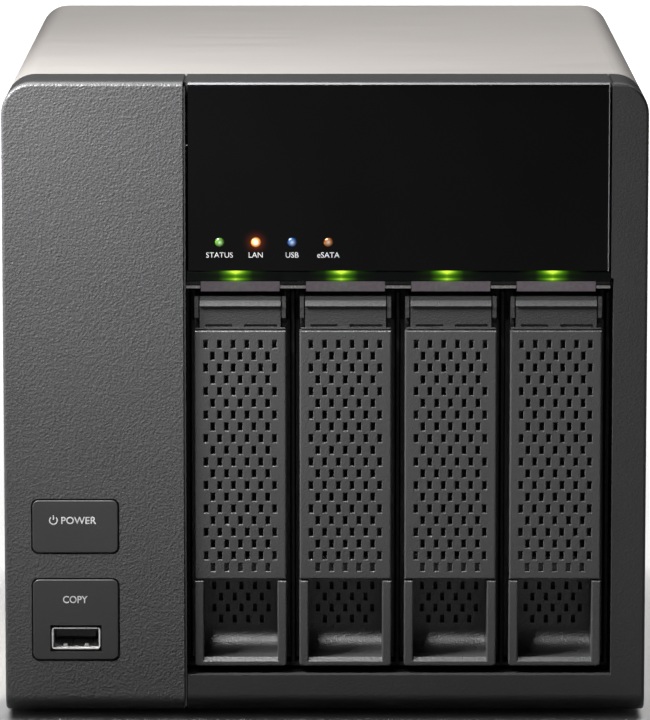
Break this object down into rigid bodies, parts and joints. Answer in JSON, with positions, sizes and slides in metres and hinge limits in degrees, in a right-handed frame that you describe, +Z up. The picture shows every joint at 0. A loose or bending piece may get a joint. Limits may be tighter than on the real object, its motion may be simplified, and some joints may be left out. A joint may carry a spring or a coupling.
{
  "type": "network storage enclosure",
  "caption": "Desktop network storage box with a left control column, status window, perforated eject levers on sliding drive carriers, and a rear cooling fan.",
  "frame": {"origin": "centre of the footprint on the surface the feet stand on", "axes": "+X to the right as seen from the front, front faces -Y, +Z up"},
  "size_m": [0.18, 0.235, 0.18],
  "materials": {
    "cover_silver": "satin",
    "panel_grey": "matte",
    "bezel_grey": "matte",
    "gloss_black": "gloss",
    "light_bar_tint": "gloss",
    "led_green": "gloss",
    "led_orange": "gloss",
    "led_blue": "gloss",
    "led_amber": "gloss",
    "button_grey": "satin",
    "tray_charcoal": "matte",
    "zinc_steel": "satin",
    "bright_steel": "polished",
    "drive_aluminium": "satin",
    "board_green": "satin",
    "black_plastic": "matte",
    "port_metal": "satin",
    "foot_rubber": "matte",
    "sink_aluminium": "satin"
  },
  "bodies": {
    "chassis": {"top_cover": "cover_silver", "base_pan": "zinc_steel", "rear_panel": "zinc_steel", "bezel_frame": "bezel_grey", "control_panel": "panel_grey", "status_window": "gloss_black", "light_bar": "light_bar_tint", "status_led": "led_green", "lan_led": "led_orange", "usb_led": "led_blue", "esata_led": "led_amber", "bay_leds": "led_green", "indicator_board": "board_green", "control_board": "board_green", "tact_switches": "black_plastic", "front_usb_shell": "port_metal", "front_usb_tongue": "black_plastic", "cage_floor": "zinc_steel", "cage_roof": "zinc_steel", "cage_dividers": "zinc_steel", "backplane_board": "board_green", "drive_connectors": "black_plastic", "mainboard": "board_green", "heatsink": "sink_aluminium", "network_ports": "port_metal", "rear_usb_ports": "port_metal", "esata_ports": "black_plastic", "fan_frame": "black_plastic", "fan_guard": "bright_steel", "fan_screws": "bright_steel", "psu_case": "zinc_steel", "power_inlet": "black_plastic", "feet": "foot_rubber", "cover_screws": "bright_steel", "standoffs": "bright_steel"},
    "carrier_1": {"tray_1": "tray_charcoal", "lever_pin_1": "bright_steel", "drive_1": "drive_aluminium", "drive_screws_1": "bright_steel"},
    "eject_lever_1": {"lever_1": "tray_charcoal"},
    "carrier_2": {"tray_2": "tray_charcoal", "lever_pin_2": "bright_steel", "drive_2": "drive_aluminium", "drive_screws_2": "bright_steel"},
    "eject_lever_2": {"lever_2": "tray_charcoal"},
    "carrier_3": {"tray_3": "tray_charcoal", "lever_pin_3": "bright_steel", "drive_3": "drive_aluminium", "drive_screws_3": "bright_steel"},
    "eject_lever_3": {"lever_3": "tray_charcoal"},
    "carrier_4": {"tray_4": "tray_charcoal", "lever_pin_4": "bright_steel", "drive_4": "drive_aluminium", "drive_screws_4": "bright_steel"},
    "eject_lever_4": {"lever_4": "tray_charcoal"},
    "power_key": {"power_button": "button_grey"},
    "copy_key": {"copy_button": "button_grey"},
    "main_fan": {"fan_rotor": "black_plastic"},
    "supply_fan": {"psu_fan_rotor": "black_plastic"}
  },
  "joints": [
    {"name": "carrier_1_slide", "type": "slide", "parent": "chassis", "child": "carrier_1", "axis": [0, -1, 0], "range_m": [0, 0.15]},
    {"name": "lever_1_swing", "type": "hinge", "parent": "carrier_1", "child": "eject_lever_1", "pos_m": [-0.02373, -0.1105, 0.1085], "axis": [-1, 0, 0], "range_deg": [0, 52]},
    {"name": "carrier_2_slide", "type": "slide", "parent": "chassis", "child": "carrier_2", "axis": [0, -1, 0], "range_m": [0, 0.15]},
    {"name": "lever_2_swing", "type": "hinge", "parent": "carrier_2", "child": "eject_lever_2", "pos_m": [0.00573, -0.1105, 0.1085], "axis": [-1, 0, 0], "range_deg": [0, 52]},
    {"name": "carrier_3_slide", "type": "slide", "parent": "chassis", "child": "carrier_3", "axis": [0, -1, 0], "range_m": [0, 0.15]},
    {"name": "lever_3_swing", "type": "hinge", "parent": "carrier_3", "child": "eject_lever_3", "pos_m": [0.03519, -0.1105, 0.1085], "axis": [-1, 0, 0], "range_deg": [0, 52]},
    {"name": "carrier_4_slide", "type": "slide", "parent": "chassis", "child": "carrier_4", "axis": [0, -1, 0], "range_m": [0, 0.15]},
    {"name": "lever_4_swing", "type": "hinge", "parent": "carrier_4", "child": "eject_lever_4", "pos_m": [0.06465, -0.1105, 0.1085], "axis": [-1, 0, 0], "range_deg": [0, 52]},
    {"name": "power_press", "type": "slide", "parent": "chassis", "child": "power_key", "axis": [0, 1, 0], "range_m": [0, 0.001], "stiffness_N_per_m": 400, "springref_m": -0.0006},
    {"name": "copy_press", "type": "slide", "parent": "chassis", "child": "copy_key", "axis": [0, 1, 0], "range_m": [0, 0.001], "stiffness_N_per_m": 400, "springref_m": -0.0006},
    {"name": "main_fan_spin", "type": "hinge", "parent": "chassis", "child": "main_fan", "pos_m": [0.02046, 0.1015, 0.068], "axis": [0, 1, 0], "continuous": true},
    {"name": "supply_fan_spin", "type": "hinge", "parent": "chassis", "child": "supply_fan", "pos_m": [0.00371, 0.1055, 0.14725], "axis": [0, 1, 0], "continuous": true}
  ]
}
